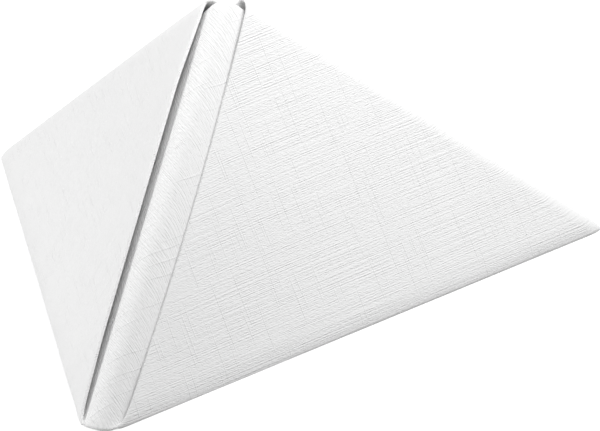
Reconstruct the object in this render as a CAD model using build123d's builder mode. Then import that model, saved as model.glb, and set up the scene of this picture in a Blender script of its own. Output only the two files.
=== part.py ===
from build123d import *
import os
from math import asin, atan, copysign, cos, degrees, radians, sin, sqrt

# Paper napkin in a pyramid fold, standing on its two lower creases, in millimetres.
# +Z is up, the ridge faces -Y, and the origin is the middle of the footprint on the table.

# Sheet
sheet_side = 400.0
paper = 0.4
air = 0.2

# Fold
wing_angle = 80.1
ridge_radius = 5.2
slit_gap = 0.6
flap_lift = 0.6
back_lift = 0.3
crease_reach = 3.3
crease_tip = 0.6
crease_flat = 0.12
band_flat = 0.23
fold_run = 1.0

# The sheet is folded corner to corner, its two far corners are brought up to the third one,
# the diamond is folded in half to the back, and the triangle is bent along its middle.
half_diagonal = sheet_side / sqrt(2)
half_turn = (180 - wing_angle) / 2
turn = radians(half_turn)
setback = ridge_radius * turn + slit_gap
leg = (half_diagonal - setback) / 2
slope = atan(sin(turn))

# Ply levels across a wing, measured outward from the middle of its base plies
pitch = paper + air
base_inner = pitch / 2
base_outer = base_inner + pitch
flap_under = base_outer + pitch + flap_lift
flap_over = flap_under + pitch
back_under = base_outer + pitch + back_lift
back_over = back_under + pitch

# Lower crease, where the flap turns into the base in an oval that is wider than it is thick,
# with a tip whose radius is a share of its half thickness
crease_level = (flap_over + base_inner) / 2
crease_outside = (flap_over - base_inner + paper) / 2
crease_ease = crease_reach - crease_outside
crease_strip = crease_reach + fold_run
tip_radius = crease_outside * crease_tip

# Top fold and slit edge of the flap
flap_outside = (flap_over + back_over + paper) / 2
flap_middle = (flap_over - back_over) / 2
top_line = leg - flap_outside
slit_outside = (pitch + paper) / 2

# Height of the ridge axis that sets the lower creases on the table
lean = cos(turn) * cos(slope)
tip_height = (ridge_radius + crease_level) * lean - slit_gap * sin(slope) + tip_radius * sqrt(1 - lean**2)
table_height = tip_height - tip_radius + crease_flat

# Lower end of the ridge band, which comes down to the table and is pressed flat on it
band_rise = (ridge_radius + pitch) * cos(slope) - table_height
band_end = (slit_outside - band_flat - band_rise) / sin(slope)
band_strip = band_end + fold_run

ridge = Plane(
    origin=(0, 0, -table_height),
    x_dir=(1, 0, 0),
    z_dir=(0, -sin(slope), cos(slope)),
)
wing_out = ridge.z_dir * cos(turn) + ridge.x_dir * sin(turn)
wing_across = ridge.x_dir * cos(turn) - ridge.z_dir * sin(turn)
wing = Plane(
    origin=ridge.origin + wing_out * ridge_radius + wing_across * slit_gap,
    x_dir=wing_across,
    z_dir=wing_out,
)
base_plane = Plane(origin=wing.origin, x_dir=wing.y_dir, z_dir=wing.x_dir)
flap_plane = Plane(
    origin=wing.from_local_coords((0, top_line, 0)),
    x_dir=wing.x_dir,
    z_dir=-wing.y_dir,
)
along_crease = (wing.x_dir + wing.y_dir).normalized()
into_wing = (wing.y_dir - wing.x_dir).normalized()
crease_plane = Plane(origin=wing.origin, x_dir=into_wing, z_dir=along_crease)
outline_plane = Plane(origin=wing.origin, x_dir=along_crease, z_dir=into_wing)
taper_plane = Plane(
    origin=wing.offset(crease_level).origin,
    x_dir=along_crease,
    z_dir=into_wing * crease_outside - wing.z_dir * crease_reach,
)
ridge_axis = Axis(ridge.origin, -ridge.y_dir)
top_axis = Axis(wing.from_local_coords((0, top_line, flap_middle)), -wing.x_dir)


def folded_ply(bend, low, high, low_end, high_end):
    """Section of one ply folded back on itself at bend, with a straight run at each level."""
    side = copysign(1, low_end - bend)
    middle = (low + high) / 2
    outer = (high - low + paper) / 2
    inner = (high - low - paper) / 2
    with BuildLine() as outline:
        Line((high_end, middle + outer), (bend, middle + outer))
        ThreePointArc((bend, middle + outer), (bend - side * outer, middle), (bend, middle - outer))
        Line((bend, middle - outer), (low_end, middle - outer))
        Line((low_end, middle - outer), (low_end, middle - inner))
        Line((low_end, middle - inner), (bend, middle - inner))
        ThreePointArc((bend, middle - inner), (bend - side * inner, middle), (bend, middle + inner))
        Line((bend, middle + inner), (high_end, middle + inner))
        Line((high_end, middle + inner), (high_end, middle + outer))
    make_face(outline.edges())


def creased_ply(low, high):
    """Section of one ply in the lower crease: a half oval of three arcs between two straight runs."""
    middle = (low + high) / 2
    outer = (high - low + paper) / 2
    inner = (high - low - paper) / 2
    with BuildLine() as outline:
        for half in (outer, inner):
            tip = half * crease_tip
            reach = half + crease_ease - tip
            flank = (reach**2 + half**2 - tip**2) / (2 * (half - tip))
            turned = degrees(asin(reach / (flank - tip)))
            over = Line((crease_strip, middle + half), (crease_reach, middle + half))
            falling = JernArc(over @ 1, over % 1, flank, turned)
            turning = JernArc(falling @ 1, falling % 1, tip, 180 - 2 * turned)
            rising = JernArc(turning @ 1, turning % 1, flank, turned)
            Line(rising @ 1, (crease_strip, middle - half))
        Line((crease_strip, middle + outer), (crease_strip, middle + inner))
        Line((crease_strip, middle - outer), (crease_strip, middle - inner))
    make_face(outline.edges())


# Ridge band: the base plies bent around the ridge, from the right slit to the middle
with BuildPart() as band:
    with BuildSketch(base_plane.offset(-slit_gap)) as bend_end:
        folded_ply(top_line, -base_outer, base_outer, -setback, band_strip)
        folded_ply(top_line, -base_inner, base_inner, -setback, band_strip)
        folded_ply(band_end, base_inner, base_outer, band_strip, band_strip)
    revolve(axis=ridge_axis, revolution_arc=half_turn)
    extrude(bend_end.sketch, amount=slit_gap)

# Base plies of the right wing, front and back, folded over the top edge
with BuildPart() as base:
    with BuildSketch(base_plane):
        folded_ply(top_line, -base_outer, base_outer, -setback, -setback)
        folded_ply(top_line, -base_inner, base_inner, -setback, -setback)
    extrude(amount=leg)
    split(bisect_by=outline_plane)
    with BuildSketch(wing):
        Polygon(
            (0, 0),
            (top_line, top_line),
            (top_line - sqrt(2) * crease_strip, top_line),
            (0, sqrt(2) * crease_strip),
            align=None,
        )
    extrude(amount=flap_under, mode=Mode.SUBTRACT)

# Front flap of the right wing, two plies joined along the slit, and its turn over the top edge
with BuildPart() as flap:
    with BuildSketch(flap_plane) as slit:
        folded_ply(slit_outside, flap_under, flap_over, leg, leg)
    extrude(amount=leg)
    split(bisect_by=outline_plane.offset(crease_strip))
    revolve(profiles=slit.sketch, axis=top_axis, revolution_arc=180)
    split(bisect_by=taper_plane)
    with BuildSketch(flap_plane):
        folded_ply(slit_outside, -back_over, -back_under, leg, leg)
    extrude(amount=leg)
    split(bisect_by=outline_plane)

# Lower crease of the right wing, the two plies nested one in the other
with BuildPart() as crease:
    with BuildSketch(crease_plane):
        creased_ply(base_inner, flap_over)
        creased_ply(base_outer, flap_under)
    extrude(amount=2 * leg, both=True)
    split(bisect_by=base_plane.offset(air))
    split(bisect_by=flap_plane.offset(air))

# Both wings, with the loose edges and the creases flat on the table
with BuildPart() as folded:
    add(crease.part)
    add(base.part)
    add(flap.part)
    add(band.part)
    mirror(about=Plane.YZ)
    split(bisect_by=Plane.XY)

# Whole napkin, moved so that the origin is in the middle of its footprint
with BuildPart() as napkin:
    with Locations((0, -folded.part.bounding_box().center().Y, 0)):
        add(folded.part)

napkin.part.label = "napkin"
os.makedirs("parts", exist_ok=True)
export_step(napkin.part, "parts/napkin.step")
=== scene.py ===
import math
from bisect import bisect_right
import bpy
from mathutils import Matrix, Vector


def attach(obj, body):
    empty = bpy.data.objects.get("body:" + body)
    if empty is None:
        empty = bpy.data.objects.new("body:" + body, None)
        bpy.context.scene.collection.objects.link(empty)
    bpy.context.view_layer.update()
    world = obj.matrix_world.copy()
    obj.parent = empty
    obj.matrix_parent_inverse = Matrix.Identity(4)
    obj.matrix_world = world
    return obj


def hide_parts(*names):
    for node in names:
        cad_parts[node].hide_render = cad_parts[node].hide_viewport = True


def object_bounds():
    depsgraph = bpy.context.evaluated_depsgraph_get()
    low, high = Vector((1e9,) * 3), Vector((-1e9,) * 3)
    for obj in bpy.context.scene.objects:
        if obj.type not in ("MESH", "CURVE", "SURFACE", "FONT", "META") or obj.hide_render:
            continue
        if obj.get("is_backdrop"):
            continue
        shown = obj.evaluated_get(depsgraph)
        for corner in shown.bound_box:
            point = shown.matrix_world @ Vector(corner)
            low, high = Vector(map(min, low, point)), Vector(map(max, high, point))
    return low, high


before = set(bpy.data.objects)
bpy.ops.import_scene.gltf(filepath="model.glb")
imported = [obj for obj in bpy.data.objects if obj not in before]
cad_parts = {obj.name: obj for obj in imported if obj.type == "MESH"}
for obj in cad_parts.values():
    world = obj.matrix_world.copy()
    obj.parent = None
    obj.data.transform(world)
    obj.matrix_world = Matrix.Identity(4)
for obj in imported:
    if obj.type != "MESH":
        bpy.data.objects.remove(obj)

from types import SimpleNamespace

import bpy
from bpy.props import FloatProperty, FloatVectorProperty, IntProperty, PointerProperty
from bpy.types import Operator, Panel, PropertyGroup
from mathutils import Vector

bl_info = {
    "name": "Pyramid-folded paper napkin",
    "version": (1, 0, 0),
    "blender": (4, 5, 0),
    "location": "3D View > Sidebar > Napkin",
    "description": "Folds a square of linen-embossed paper into a standing pyramid and sets its stage",
    "category": "Object",
}

CAD_LOW, CAD_HIGH = (Vector(corner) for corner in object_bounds())
ROOT_TWO = math.sqrt(2)
# Steps in which the length of an oval turn is summed
OVAL_STEPS = 60
WELD_DISTANCE = 1e-6
SMOOTH_ANGLE = math.radians(60)
# Half the picture's width and the focal length of the camera fit, in pixels of the photo
PICTURE_HALF_WIDTH = 300
FOCAL_LENGTH = 5437.7
CAMERA_REACH = 20.0

# Weave: widths in thread pitches, lengths in thread lengths, and depths as shares of the emboss
THREAD_WIDTH = 0.75
CROSS_LENGTH = 0.3
CROSS_DEPTH = 0.05
SLUB_WIDTH = 1.5
SLUB_LENGTH = 0.45
SLUB_DEPTH = 0.55
# Levels of the noise between which a slub rises out of the paper
SLUB_EDGES = (0.72, 0.86)
# Fibres are so short that their length is in thread pitches too
FIBRE_LENGTH = 3
FIBRE_DEPTH = 0.8
# Places in the noise, far enough apart that the layers don't repeat each other
THREAD_PLACE = 3.1
CROSS_PLACE = 11.7
SLUB_PLACE = 23.3
FIBRE_PLACE = 5.9
PLACE_SKEW = 1.7


class NapkinSheetSettings(PropertyGroup):
    """Sizes of the sheet and of its folds"""

    sheet_side: FloatProperty(
        name="Sheet side", description="Side of the open, square napkin",
        default=0.400, min=0.1, unit="LENGTH")
    paper: FloatProperty(
        name="Paper", description="Thickness of one ply of embossed paper",
        default=0.00036, min=0.0001, unit="LENGTH")
    ply_pitch: FloatProperty(
        name="Ply pitch", description="Distance between plies that lie on each other",
        default=0.0006, min=0.0002, unit="LENGTH")
    flap_lift: FloatProperty(
        name="Flap lift", description="Extra room between a front flap and the base under it",
        default=0.00057, min=0.0, unit="LENGTH")
    back_lift: FloatProperty(
        name="Back lift", description="Extra room between a back flap and the base",
        default=0.0003, min=0.0, unit="LENGTH")
    ridge_radius: FloatProperty(
        name="Ridge radius", description="Bend radius of the ridge at the middle of its plies",
        default=0.00516, min=0.001, unit="LENGTH")
    wing_angle: FloatProperty(
        name="Wing angle", description="Angle between the two wings",
        default=math.radians(80.12), subtype="ANGLE")
    slit_gap: FloatProperty(
        name="Slit gap", description="From the end of the ridge's bend to the edge of a flap",
        default=0.00057, min=0.0, unit="LENGTH")
    left_slit_bow: FloatProperty(
        name="Left slit bow", description="How far the left flap's edge bows away from the ridge",
        default=0.0004, min=0.0, unit="LENGTH")
    right_slit_bow: FloatProperty(
        name="Right slit bow", description="How far the right flap's edge bows away from the ridge",
        default=0.0022, min=0.0, unit="LENGTH")
    left_slit_lift: FloatProperty(
        name="Left slit lift", description="How far the left flap springs open along its edge",
        default=0.00088, unit="LENGTH")
    right_slit_lift: FloatProperty(
        name="Right slit lift", description="How far the right flap springs open, below 0 is pressed down",
        default=-0.0007, unit="LENGTH")
    slit_ease: FloatProperty(
        name="Slit ease", description="Distance from a flap's edge over which its bow and lift die away",
        default=0.030, min=0.005, unit="LENGTH")
    left_slit_flare: FloatProperty(
        name="Left slit flare", description="Share by which the left flap opens more at its top than below",
        default=0.35, min=0.0, max=1.0)
    crease_reach: FloatProperty(
        name="Crease reach", description="Width of the strip in which a lower crease turns round",
        default=0.0033, min=0.001, unit="LENGTH")
    flap_reach: FloatProperty(
        name="Flap reach", description="Width of the strip in which a flap comes down to its lower crease",
        default=0.0065, min=0.001, unit="LENGTH")
    crease_flat: FloatProperty(
        name="Crease flat", description="How far the table presses the lower creases flat",
        default=0.00012, min=0.0, unit="LENGTH")
    corner_width: FloatProperty(
        name="Corner width", description="Width of the rounding at the corners of the band's lower end",
        default=0.0020, min=0.0, unit="LENGTH")
    corner_height: FloatProperty(
        name="Corner height", description="Height of the rounding at the corners of the band's lower end",
        default=0.0050, min=0.001, unit="LENGTH")
    foot_skew: FloatProperty(
        name="Foot skew", description="How much further the band's lower end reaches at its right side",
        default=0.0010, unit="LENGTH")
    left_foot_spread: FloatProperty(
        name="Left foot spread", description="How much further the band's lower end spreads at its left",
        default=0.0060, min=0.0, unit="LENGTH")
    foot_lift: FloatProperty(
        name="Foot lift", description="How much shorter the band's lower end is in the middle of the ridge",
        default=0.0003, min=0.0, unit="LENGTH")
    left_dome_drop: FloatProperty(
        name="Left dome drop", description="How far the base's top edge lies lower under the left flap",
        default=0.0017, min=0.0, unit="LENGTH")
    right_dome_drop: FloatProperty(
        name="Right dome drop", description="How far the base's top edge lies lower under the right flap",
        default=0.0008, min=0.0, unit="LENGTH")
    middle_drop: FloatProperty(
        name="Middle drop", description="How far the band's top edge lies lower in the middle of the ridge",
        default=0.0004, min=0.0, unit="LENGTH")
    left_flap_drop: FloatProperty(
        name="Left flap drop", description="How far the top of the left flap lies lower at the slit",
        default=0.0007, min=0.0, unit="LENGTH")
    right_top_ease: FloatProperty(
        name="Right top ease", description="How much earlier the right flap turns over the top edge",
        default=0.0022, min=0.0, unit="LENGTH")
    right_top_rise: FloatProperty(
        name="Right top rise", description="How far the top of the right flap stands above the top edge",
        default=0.0009, min=0.0, unit="LENGTH")
    back_close: FloatProperty(
        name="Back close", description="How far the flaps' edges close in on the ridge at the back",
        default=0.0020, min=0.0, unit="LENGTH")
    ridge_foot: FloatProperty(
        name="Ridge foot", description="From the front of the folded solid to the foot of the ridge's axis",
        default=0.00569, min=0.0, unit="LENGTH")
    grid_cells: IntProperty(
        name="Grid cells", description="Cells along each side of the open sheet",
        default=90, min=10)
    fold_steps: IntProperty(
        name="Fold steps", description="Flat facets across each fold",
        default=10, min=4)


class NapkinPaperSettings(PropertyGroup):
    """Looks of the embossed paper"""

    colour: FloatVectorProperty(
        name="Paper colour", description="Colour of the paper",
        subtype="COLOR", size=3, default=(0.82, 0.82, 0.82))
    thread_pitch: FloatProperty(
        name="Thread pitch", description="Usual distance between embossed threads",
        default=0.00044, min=0.0002, unit="LENGTH")
    thread_length: FloatProperty(
        name="Thread length", description="Usual length of an embossed thread",
        default=0.045, min=0.001, unit="LENGTH")
    emboss_depth: FloatProperty(
        name="Emboss depth", description="Depth of the embossed threads",
        default=0.00012, min=0.0, unit="LENGTH")
    pressed_width: FloatProperty(
        name="Pressed width", description="From the top fold of a flap to where its emboss has full depth",
        default=0.0055, min=0.0005, unit="LENGTH")
    roughness: FloatProperty(
        name="Roughness", description="Roughness of the paper, where 1 is matt",
        default=0.9, min=0.0, max=1.0)
    gloss: FloatProperty(
        name="Gloss", description="Strength of the paper's faint reflection",
        default=0.2, min=0.0, max=1.0)


class NapkinStageSettings(PropertyGroup):
    """Floor, lamps and camera"""

    camera_azimuth: FloatProperty(
        name="Camera azimuth", description="Turn of the view to the right of the ridge",
        default=math.radians(17.72), subtype="ANGLE")
    camera_elevation: FloatProperty(
        name="Camera elevation", description="Height of the view above the table",
        default=math.radians(22.68), subtype="ANGLE")
    camera_distance: FloatProperty(
        name="Camera distance", description="From the aim point to the camera",
        default=1.4732, unit="LENGTH")
    camera_aim: FloatVectorProperty(
        name="Camera aim", description="Point in the middle of the picture",
        subtype="TRANSLATION", size=3, default=(0.0437, -0.0455, 0.0514))
    field_of_view: FloatProperty(
        name="Field of view", description="Horizontal angle of the picture",
        default=2 * math.atan(PICTURE_HALF_WIDTH / FOCAL_LENGTH), subtype="ANGLE")
    floor_size: FloatProperty(
        name="Floor size", description="Side of the square table",
        default=8.0, min=1.0, unit="LENGTH")
    floor_colour: FloatVectorProperty(
        name="Floor colour", description="Colour of the table",
        subtype="COLOR", size=3, default=(0.50, 0.50, 0.50))
    floor_lift: FloatProperty(
        name="Floor lift", description="Light that the floor adds to the picture alone, where 1 is white",
        default=0.70, min=0.0, max=1.0)
    top_place: FloatVectorProperty(
        name="Top lamp place", description="Middle of the soft lamp above the right wing",
        subtype="TRANSLATION", size=3, default=(0.14, 0.09, 0.39))
    top_size: FloatProperty(
        name="Top lamp size", description="Side of the soft lamp above the right wing",
        default=0.30, min=0.01, unit="LENGTH")
    top_power: FloatProperty(
        name="Top lamp", description="Power of the soft lamp above the right wing, in watts",
        default=1.67, min=0.0)
    side_place: FloatVectorProperty(
        name="Side lamp place", description="Middle of the soft lamp beside the left wing",
        subtype="TRANSLATION", size=3, default=(-0.88, -0.31, 0.20))
    side_size: FloatProperty(
        name="Side lamp size", description="Side of the soft lamp beside the left wing",
        default=0.36, min=0.01, unit="LENGTH")
    side_power: FloatProperty(
        name="Side lamp", description="Power of the soft lamp beside the left wing, in watts",
        default=5.02, min=0.0)
    room_light: FloatProperty(
        name="Room light", description="Strength of the even light from all around",
        default=0.42, min=0.0)


def oval_shares(reach, half):
    """Shares of the length of a quarter oval, from its tip, at even steps of its angle."""
    lengths = [0.0]
    for step in range(OVAL_STEPS):
        angle = math.pi / 2 * (step + 0.5) / OVAL_STEPS
        lengths.append(lengths[-1] + math.hypot(reach * math.sin(angle), half * math.cos(angle)))
    return [length / lengths[-1] for length in lengths]


def oval_angle(share, shares):
    """Angle from the tip of a quarter oval at a share of its length."""
    step = min(bisect_right(shares, share), OVAL_STEPS)
    part = (share - shares[step - 1]) / (shares[step] - shares[step - 1])
    return math.pi / 2 * (step - 1 + part) / OVAL_STEPS


def fold_sizes(settings):
    """Sizes that follow from the sheet's own, the same way as in the folded solid."""
    f = SimpleNamespace()
    f.side = settings.sheet_side
    f.paper = settings.paper
    f.ridge_radius = settings.ridge_radius
    f.half_turn = (math.pi - settings.wing_angle) / 2
    f.bend = f.ridge_radius * f.half_turn
    f.slit_gap = settings.slit_gap
    f.setback = f.bend + f.slit_gap
    f.leg = (f.side / ROOT_TWO - f.setback) / 2
    f.slope = math.atan(math.sin(f.half_turn))
    # Levels of the plies, measured outward from the middle of the base
    pitch = settings.ply_pitch
    f.base_inner = pitch / 2
    f.base_outer = pitch * 1.5
    f.flap_under = pitch * 2.5 + settings.flap_lift
    f.flap_over = f.flap_under + pitch
    f.back_over = pitch * 3.5 + settings.back_lift
    # Slit edge of the flaps and lower end of the band
    f.slit_radius = pitch / 2
    f.slit_inset = f.slit_radius + f.paper / 2
    f.slit_strip = f.slit_radius * math.pi / 2
    f.slit_bow = {-1: settings.left_slit_bow, 1: settings.right_slit_bow}
    f.slit_lift = {-1: settings.left_slit_lift, 1: settings.right_slit_lift}
    f.slit_ease = settings.slit_ease
    f.slit_flare = {-1: settings.left_slit_flare, 1: 0.0}
    f.band_level = (f.base_inner + f.base_outer) / 2
    f.corner_width = settings.corner_width
    f.corner_height = settings.corner_height
    f.foot_skew = settings.foot_skew
    f.foot_spread = {-1: settings.left_foot_spread, 1: 0.0}
    f.foot_lift = settings.foot_lift
    f.dome_drop = {-1: settings.left_dome_drop, 1: settings.right_dome_drop}
    f.flap_drop = {-1: settings.left_flap_drop, 1: 0.0}
    f.middle_drop = settings.middle_drop
    f.top_ease = {-1: 0.0, 1: settings.right_top_ease}
    f.top_rise = {-1: 0.0, 1: settings.right_top_rise}
    f.back_close = settings.back_close
    f.ridge_foot = settings.ridge_foot
    # Lower crease, an oval turn that is wider than it is thick, and widest on the flap's side
    f.crease_level = (f.flap_over + f.base_inner) / 2
    f.crease_outside = (f.flap_over - f.base_inner + f.paper) / 2
    f.crease_reach = {-1: settings.crease_reach, 1: settings.flap_reach}
    f.crease_oval = {half: oval_shares(reach, f.crease_outside) for half, reach in f.crease_reach.items()}
    # Turn over the top edge
    f.top_inset = (f.flap_over + f.back_over + f.paper) / 2
    f.top_middle = (f.flap_over - f.back_over) / 2
    f.top_line = f.leg - f.top_inset
    # Height of the ridge axis that sets the creases on the table
    lean = math.cos(f.half_turn) * math.cos(f.slope)
    rise = settings.crease_reach * math.sqrt(1 - lean**2)
    crease_middle = (f.ridge_radius + f.crease_level) * lean - f.slit_gap * math.sin(f.slope) + rise
    f.table_height = crease_middle - math.hypot(rise, f.crease_outside * lean) + settings.crease_flat
    return f


def smooth_step(low, high, value):
    """0 below low, 1 above high, and a smooth rise between them."""
    t = min(max((value - low) / (high - low), 0.0), 1.0)
    return t * t * (3 - 2 * t)


def fold_corner_to_corner(y, f):
    """First fold: the lower half of the sheet goes behind the upper one. Gives height and level."""
    if abs(y) < f.slit_strip:
        angle = y / f.slit_radius
        height = f.slit_inset - f.slit_radius * math.cos(angle)
        return height, f.band_level + f.slit_radius * math.sin(angle)
    height = f.slit_inset + abs(y) - f.slit_strip
    return height, f.band_level + math.copysign(f.slit_radius, y)


def fold_flap(across, height, level, f):
    """Second fold: what lies beyond the lower crease comes up as a flap over the base."""
    beyond = (across - height) / ROOT_TWO
    along = (across + height) / ROOT_TWO
    bend = f.crease_level - level
    half = 1 if beyond > 0 else -1
    reach = f.crease_reach[half]
    if abs(beyond) < reach:
        angle = oval_angle(abs(beyond) / reach, f.crease_oval[half])
        beyond = (bend + reach - f.crease_outside) * math.cos(angle) - reach
        level = f.crease_level + half * bend * math.sin(angle)
    elif beyond > 0:
        beyond = -beyond
        level = f.crease_level + bend
    return (along + beyond) / ROOT_TWO, (along - beyond) / ROOT_TWO, level


def ease_slit(across, height, level, side, f):
    """Along the slit a flap springs open and its edge bows away from the ridge."""
    on_flap = smooth_step(f.base_outer, f.flap_under, level)
    near_slit = on_flap * math.exp(-max(across, 0.0) / f.slit_ease)
    share = min(max(height / f.leg, 0.0), 1.0)
    opening = smooth_step(0.0, f.slit_ease, height)
    opening *= 1 - smooth_step(f.top_line - f.slit_ease, f.top_line, height)
    opening *= 1 + f.slit_flare[side] * (2 * share - 1)
    across += near_slit * f.slit_bow[side] * 4 * share * (1 - share)
    return across, level + near_slit * f.slit_lift[side] * opening


def ridge_turn(across, f):
    """How far a place has turned round the ridge, and how far it lies beyond the bend."""
    from_bend = across + f.slit_gap
    return min(f.half_turn + from_bend / f.ridge_radius, f.half_turn), max(from_bend, 0.0)


def set_foot(across, height, side, f):
    """The band's lower end has rounded corners and comes down to the table."""
    low = min(max(1 - height / f.corner_height, 0.0), 1.0)
    inward = f.corner_width * (1 - math.sqrt(1 - low**2))
    if across > 0:
        across -= inward * math.exp(-across / f.corner_width)
    else:
        across -= inward * max(1 + across / f.setback, 0.0)
    turn, _ = ridge_turn(across, f)
    above = (f.ridge_radius + f.band_level) * math.cos(turn) * math.cos(f.slope) - f.table_height
    turn = max(turn, 0.0)
    hang = max(above, 0.0) / math.sin(f.slope) + side * f.foot_skew * math.sin(turn)
    hang += f.foot_spread[side] * (1 - math.cos(turn)) - f.foot_lift
    return across, height - hang * math.exp(-height / f.corner_height)


def fold_in_half(across, height, level, side, f):
    """Third fold: the upper half goes over the top edge to the back."""
    on_flap = smooth_step(f.base_outer, f.flap_under, level)
    near_slit = on_flap * math.exp(-max(across, 0.0) / f.slit_ease)
    beside_flap = smooth_step(-f.setback, 0.0, across)
    ease = on_flap * f.top_ease[side]
    reach = f.top_inset + ease
    top_line = f.top_line - ease + on_flap * f.top_rise[side] - near_slit * f.flap_drop[side]
    top_line -= (1 - on_flap) * (f.middle_drop + beside_flap * (f.dome_drop[side] - f.middle_drop))
    over = height - top_line
    if over <= 0:
        return across, height, level, 0.0
    middle = f.top_middle * on_flap
    bend = level - middle
    angle = math.pi * min(over / (2 * reach), 1.0)
    across -= near_slit * f.back_close * angle / math.pi
    height = top_line + (bend + ease) * math.sin(angle) - max(over - 2 * reach, 0.0)
    return across, height, middle + bend * math.cos(angle), angle


def bend_ridge(across, height, level, f):
    """Last fold: the triangle is bent along its middle. Gives the point before it is stood up."""
    radius = f.ridge_radius + level
    turn, beyond = ridge_turn(across, f)
    x = radius * math.sin(turn) + beyond * math.cos(turn)
    z = radius * math.cos(turn) - beyond * math.sin(turn)
    return x, height, z


def fold_point(x, y, f):
    """Where a point of the open sheet comes to lie, and whether it is at the back."""
    side = 1 if x > 0 else -1
    height, level = fold_corner_to_corner(y, f)
    across, height, level = fold_flap(abs(x) - f.setback, height, level, f)
    across, level = ease_slit(across, height, level, side, f)
    across, height = set_foot(across, height, side, f)
    across, height, level, over = fold_in_half(across, height, level, side, f)
    out_side, up, out = bend_ridge(across, height, level, f)
    place = Vector((
        side * out_side,
        up * math.cos(f.slope) - out * math.sin(f.slope),
        up * math.sin(f.slope) + out * math.cos(f.slope) - f.table_height,
    ))
    return place, over > math.pi / 2


def cut_lines(f, steps):
    """Lines across the open sheet, as a distance from its middle along a direction, that edge the folds."""
    shares = [step / steps for step in range(steps + 1)]
    for share in shares:
        yield (0, 1), f.slit_strip * (2 * share - 1)
        yield (1, 0), f.bend * (2 * share - 1)
        over = f.top_line + 2 * f.top_inset * share
        half = 1 if share > 0.5 else -1
        turned = f.crease_oval[half][round(abs(2 * share - 1) * OVAL_STEPS)]
        beyond = half * f.crease_reach[half] * turned
        for side in (-1, 1):
            yield (0, 1), side * over
            ease = f.top_ease[side] * (2 * share - 1)
            yield (1, 0), side * (f.setback + over + ease)
            for layer in (-1, 1):
                yield (side / ROOT_TWO, layer / ROOT_TWO), f.setback / ROOT_TWO + beyond


def open_sheet(f, settings):
    """The flat napkin, standing on a corner, with edges along every fold and its own map."""
    bpy.ops.object.select_all(action="DESELECT")
    bpy.ops.mesh.primitive_grid_add(
        x_subdivisions=settings.grid_cells, y_subdivisions=settings.grid_cells,
        size=f.side, location=(0, 0, 0), rotation=(0, 0, math.pi / 4))
    sheet = bpy.context.object
    bpy.ops.object.transform_apply(location=True, rotation=True, scale=True)
    bpy.ops.object.mode_set(mode="EDIT")
    for (across, up), distance in cut_lines(f, settings.fold_steps):
        bpy.ops.mesh.select_all(action="SELECT")
        bpy.ops.mesh.bisect(
            plane_co=(across * distance, up * distance, 0), plane_no=(across, up, 0))
    bpy.ops.mesh.select_all(action="SELECT")
    bpy.ops.mesh.remove_doubles(threshold=WELD_DISTANCE)
    bpy.ops.object.mode_set(mode="OBJECT")
    mesh = sheet.data
    for layer in list(mesh.uv_layers):
        mesh.uv_layers.remove(layer)
    sheet_map = mesh.uv_layers.new(name="open_sheet")
    for loop in mesh.loops:
        x, y, _ = mesh.vertices[loop.vertex_index].co
        sheet_map.data[loop.index].uv = (
            (x + y) / ROOT_TWO / f.side + 0.5,
            (y - x) / ROOT_TWO / f.side + 0.5,
        )
    return sheet


def fold_sheet(sheet, f):
    """Folds the open sheet in place, sets it in the frame and trims its loose edges to the table."""
    mesh = sheet.data
    behind = []
    for vertex in mesh.vertices:
        vertex.co, at_back = fold_point(vertex.co.x, vertex.co.y, f)
        behind.append(at_back)
    for vertex, at_back in zip(mesh.vertices, behind):
        if not at_back:
            vertex.co.z = max(vertex.co.z, f.paper / 2)
    bpy.ops.object.mode_set(mode="EDIT")
    bpy.ops.mesh.select_all(action="SELECT")
    bpy.ops.mesh.bisect(
        plane_co=(0, 0, f.paper / 2), plane_no=(0, 0, 1), clear_inner=True)
    bpy.ops.mesh.select_all(action="SELECT")
    bpy.ops.mesh.normals_make_consistent(inside=False)
    bpy.ops.object.mode_set(mode="OBJECT")
    for vertex in mesh.vertices:
        vertex.co.y += CAD_LOW.y + f.ridge_foot


def thicken(sheet, f):
    """Gives the folded sheet the thickness of the paper and smooth folds."""
    body = sheet.modifiers.new("paper_thickness", "SOLIDIFY")
    body.thickness = f.paper
    body.offset = 0.0
    bpy.ops.object.modifier_apply(modifier=body.name)
    bpy.ops.object.shade_smooth_by_angle(angle=SMOOTH_ANGLE)


class NapkinNodes:
    """Short calls that place and join nodes in one node tree."""

    def __init__(self, tree):
        self.tree = tree

    def add(self, kind, **values):
        node = self.tree.nodes.new(kind)
        for name, value in values.items():
            setattr(node, name, value)
        return node

    def join(self, source, target):
        self.tree.links.new(source, target)

    def math(self, operation, *values):
        node = self.add("ShaderNodeMath", operation=operation)
        for socket, value in zip(node.inputs, values):
            if isinstance(value, (int, float)):
                socket.default_value = value
            else:
                self.join(value, socket)
        return node.outputs[0]

    def streaks(self, place, across, along, offset):
        """Noise drawn out into threads: across and along are sizes in metres."""
        stretch = self.add("ShaderNodeMapping")
        stretch.inputs["Scale"].default_value = (1 / across, 1 / along, 1)
        stretch.inputs["Location"].default_value = (offset, offset * PLACE_SKEW, 0)
        self.join(place, stretch.inputs["Vector"])
        noise = self.add("ShaderNodeTexNoise", noise_dimensions="2D")
        noise.inputs["Scale"].default_value = 1.0
        noise.inputs["Detail"].default_value = 0.0
        self.join(stretch.outputs["Vector"], noise.inputs["Vector"])
        return noise.outputs[0]

    def ramp(self, value, low, high):
        """0 below low, 1 above high and smooth between them."""
        node = self.add("ShaderNodeMapRange", interpolation_type="SMOOTHSTEP")
        node.inputs["From Min"].default_value = low
        node.inputs["From Max"].default_value = high
        self.join(value, node.inputs["Value"])
        return node.outputs["Result"]


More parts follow.
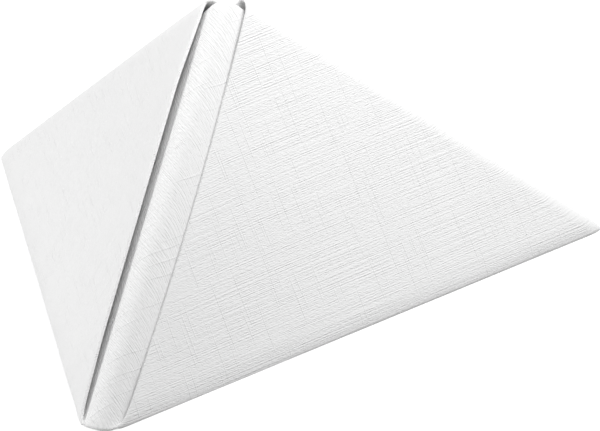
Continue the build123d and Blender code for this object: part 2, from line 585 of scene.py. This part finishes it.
def linen_emboss(settings, f):
    """Shader group: height of an embossed linen weave at a place on the open sheet."""
    pitch = settings.thread_pitch
    length = settings.thread_length
    tree = bpy.data.node_groups.new("linen_emboss", "ShaderNodeTree")
    tree.interface.new_socket("Sheet place", in_out="INPUT", socket_type="NodeSocketVector")
    tree.interface.new_socket("Height", in_out="OUTPUT", socket_type="NodeSocketFloat")
    n = NapkinNodes(tree)
    entry = n.add("NodeGroupInput")
    leave = n.add("NodeGroupOutput")
    metres = n.add("ShaderNodeVectorMath", operation="SCALE")
    metres.inputs["Scale"].default_value = f.side
    n.join(entry.outputs["Sheet place"], metres.inputs[0])
    place = metres.outputs["Vector"]
    turned = n.add("ShaderNodeVectorRotate", rotation_type="Z_AXIS")
    turned.inputs["Angle"].default_value = math.pi / 2
    n.join(place, turned.inputs["Vector"])
    across = turned.outputs["Vector"]
    width = pitch * THREAD_WIDTH
    height = n.streaks(place, width, length, THREAD_PLACE)
    cross = n.streaks(across, width, length * CROSS_LENGTH, CROSS_PLACE)
    slub = n.streaks(across, pitch * SLUB_WIDTH, length * SLUB_LENGTH, SLUB_PLACE)
    slub = n.ramp(slub, *SLUB_EDGES)
    fibre = n.streaks(place, width, pitch * FIBRE_LENGTH, FIBRE_PLACE)
    for layer, depth in ((cross, CROSS_DEPTH), (slub, SLUB_DEPTH), (fibre, FIBRE_DEPTH)):
        height = n.math("ADD", height, n.math("MULTIPLY", layer, depth))
    # Along the top fold of the flaps the weave is pressed flat
    axes = n.add("ShaderNodeSeparateXYZ")
    n.join(place, axes.inputs["Vector"])
    from_middle = n.math("SUBTRACT", axes.outputs["X"], axes.outputs["Y"])
    from_middle = n.math("ABSOLUTE", n.math("DIVIDE", from_middle, ROOT_TWO))
    from_fold = n.math("ABSOLUTE", n.math("SUBTRACT", from_middle, f.setback + f.leg))
    height = n.math("MULTIPLY", height, n.ramp(from_fold, 0.0, settings.pressed_width))
    n.join(height, leave.inputs["Height"])
    return tree


def embossed_paper(settings, f):
    """Material of the napkin: soft white paper with a linen weave pressed into it."""
    material = bpy.data.materials.new("embossed_paper")
    material.use_nodes = True
    n = NapkinNodes(material.node_tree)
    paper = material.node_tree.nodes["Principled BSDF"]
    sheet_map = n.add("ShaderNodeUVMap", uv_map="open_sheet")
    weave = n.add("ShaderNodeGroup")
    weave.node_tree = linen_emboss(settings, f)
    n.join(sheet_map.outputs["UV"], weave.inputs["Sheet place"])
    paper.inputs["Base Color"].default_value = (*settings.colour, 1)
    relief = n.add("ShaderNodeBump")
    relief.inputs["Distance"].default_value = settings.emboss_depth
    n.join(weave.outputs["Height"], relief.inputs["Height"])
    n.join(relief.outputs["Normal"], paper.inputs["Normal"])
    paper.inputs["Roughness"].default_value = settings.roughness
    paper.inputs["Specular IOR Level"].default_value = settings.gloss
    return material


class NAPKIN_OT_folded_sheet(Operator):
    """Folds the sheet of paper into a pyramid that stands on its lower creases"""

    bl_idname = "napkin.folded_sheet"
    bl_label = "Folded sheet"

    def execute(self, context):
        settings = context.scene.napkin_sheet
        f = fold_sizes(settings)
        sheet = open_sheet(f, settings)
        sheet.name = sheet.data.name = "folded_napkin"
        fold_sheet(sheet, f)
        thicken(sheet, f)
        sheet.data.materials.clear()
        sheet.data.materials.append(embossed_paper(context.scene.napkin_paper, f))
        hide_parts("napkin")
        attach(sheet, "root")
        return {"FINISHED"}


def white_floor(colour, lift):
    """Material of the table: matt, and white to the camera outside the shadow."""
    material = bpy.data.materials.new("white_floor")
    material.use_nodes = True
    n = NapkinNodes(material.node_tree)
    n.tree.nodes.remove(n.tree.nodes["Principled BSDF"])
    matt = n.add("ShaderNodeBsdfDiffuse")
    matt.inputs["Color"].default_value = (*colour, 1)
    ray = n.add("ShaderNodeLightPath")
    seen = n.math("MAXIMUM", ray.outputs["Is Camera Ray"], ray.outputs["Is Glossy Ray"])
    seen = n.math("MAXIMUM", seen, ray.outputs["Is Transmission Ray"])
    glow = n.add("ShaderNodeEmission")
    n.join(n.math("MULTIPLY", seen, lift), glow.inputs["Strength"])
    both = n.add("ShaderNodeAddShader")
    n.join(matt.outputs["BSDF"], both.inputs[0])
    n.join(glow.outputs["Emission"], both.inputs[1])
    n.join(both.outputs["Shader"], n.tree.nodes["Material Output"].inputs["Surface"])
    return material


def soft_lamp(name, place, aim, size, power):
    """A square, soft lamp that points at aim."""
    bpy.ops.object.light_add(type="AREA", location=place)
    lamp = bpy.context.object
    lamp.name = lamp.data.name = name
    lamp.rotation_euler = (Vector(place) - Vector(aim)).to_track_quat("Z", "Y").to_euler()
    lamp.data.size = size
    lamp.data.energy = power


class NAPKIN_OT_stage(Operator):
    """Lays the floor and sets the lamps, the room light and the camera"""

    bl_idname = "napkin.stage"
    bl_label = "Stage"

    def execute(self, context):
        scene = context.scene
        stage = scene.napkin_stage
        bpy.ops.object.select_all(action="DESELECT")
        bpy.ops.mesh.primitive_plane_add(size=stage.floor_size, location=(0, 0, 0))
        floor = bpy.context.object
        floor.name = floor.data.name = "floor"
        floor.data.materials.append(white_floor(stage.floor_colour, stage.floor_lift))
        floor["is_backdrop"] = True

        middle = (CAD_LOW + CAD_HIGH) / 2
        soft_lamp("top_lamp", stage.top_place, middle, stage.top_size, stage.top_power)
        soft_lamp("side_lamp", stage.side_place, middle, stage.side_size, stage.side_power)
        room = scene.world or bpy.data.worlds.new("room")
        scene.world = room
        room.use_nodes = True
        air = room.node_tree.nodes["Background"]
        air.inputs["Color"].default_value = (1, 1, 1, 1)
        air.inputs["Strength"].default_value = stage.room_light
        scene.view_settings.view_transform = "Standard"

        aim = Vector(stage.camera_aim)
        level = math.cos(stage.camera_elevation)
        back = Vector((
            math.sin(stage.camera_azimuth) * level,
            -math.cos(stage.camera_azimuth) * level,
            math.sin(stage.camera_elevation),
        ))
        bpy.ops.object.camera_add(location=aim + back * stage.camera_distance)
        camera = bpy.context.object
        camera.rotation_euler = back.to_track_quat("Z", "Y").to_euler()
        camera.data.sensor_fit = "HORIZONTAL"
        camera.data.angle = stage.field_of_view
        camera.data.clip_end = CAMERA_REACH
        scene.camera = camera
        return {"FINISHED"}


class NAPKIN_PT_tools(Panel):
    """Napkin tools in the sidebar"""

    bl_label = "Napkin"
    bl_idname = "NAPKIN_PT_tools"
    bl_space_type = "VIEW_3D"
    bl_region_type = "UI"
    bl_category = "Napkin"

    def draw(self, context):
        scene = context.scene
        for settings in (scene.napkin_sheet, scene.napkin_paper, scene.napkin_stage):
            column = self.layout.column(align=True)
            for name in settings.__annotations__:
                column.prop(settings, name)
        for operator in (NAPKIN_OT_folded_sheet, NAPKIN_OT_stage):
            self.layout.operator(operator.bl_idname)


CLASSES = (
    NapkinSheetSettings, NapkinPaperSettings, NapkinStageSettings,
    NAPKIN_OT_folded_sheet, NAPKIN_OT_stage, NAPKIN_PT_tools,
)


def register():
    for kind in CLASSES:
        bpy.utils.register_class(kind)
    bpy.types.Scene.napkin_sheet = PointerProperty(type=NapkinSheetSettings)
    bpy.types.Scene.napkin_paper = PointerProperty(type=NapkinPaperSettings)
    bpy.types.Scene.napkin_stage = PointerProperty(type=NapkinStageSettings)


def unregister():
    del bpy.types.Scene.napkin_stage
    del bpy.types.Scene.napkin_paper
    del bpy.types.Scene.napkin_sheet
    for kind in reversed(CLASSES):
        bpy.utils.unregister_class(kind)


def main():
    register()
    bpy.ops.napkin.folded_sheet()
    bpy.ops.napkin.stage()


if __name__ == "__main__":
    main()
